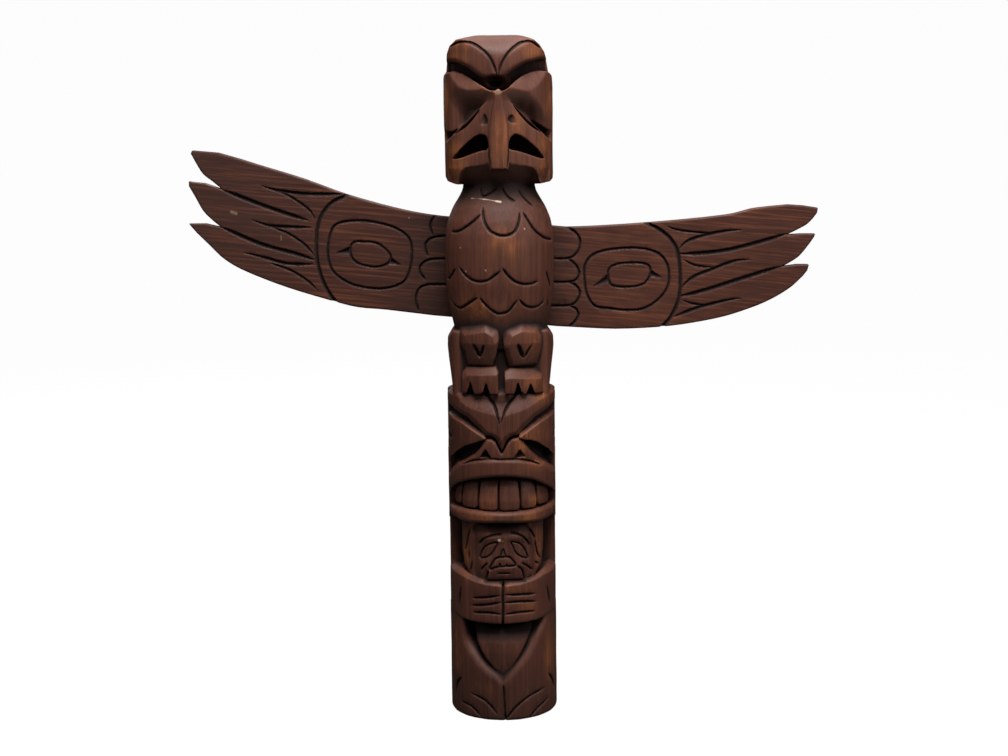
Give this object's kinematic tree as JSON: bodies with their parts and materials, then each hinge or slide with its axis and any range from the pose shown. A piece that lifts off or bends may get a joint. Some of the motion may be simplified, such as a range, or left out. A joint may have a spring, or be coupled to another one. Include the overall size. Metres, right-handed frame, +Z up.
{
  "type": "totem pole",
  "caption": "Carved cedar totem pole: a round log with stacked eagle, bear and small figure, and a wing board let into its planed back; stands on its flat foot.",
  "frame": {"origin": "centre of the log at the flat underside of the foot", "axes": "+Z up along the log; -Y the side the figures face; +X to the right seen from the front"},
  "size_m": [0.402, 0.0582, 0.43],
  "materials": {
    "stained_cedar_pole": "dark reddish-brown stain under a satin varnish, worn orange-brown on the high edges, grain upright",
    "stained_cedar_wings": "dark reddish-brown stain under a thin satin varnish, fine grain lines running out along the wings"
  },
  "bodies": {
    "root": {"pole": "stained_cedar_pole", "wing_board": "stained_cedar_wings"}
  },
  "joints": []
}
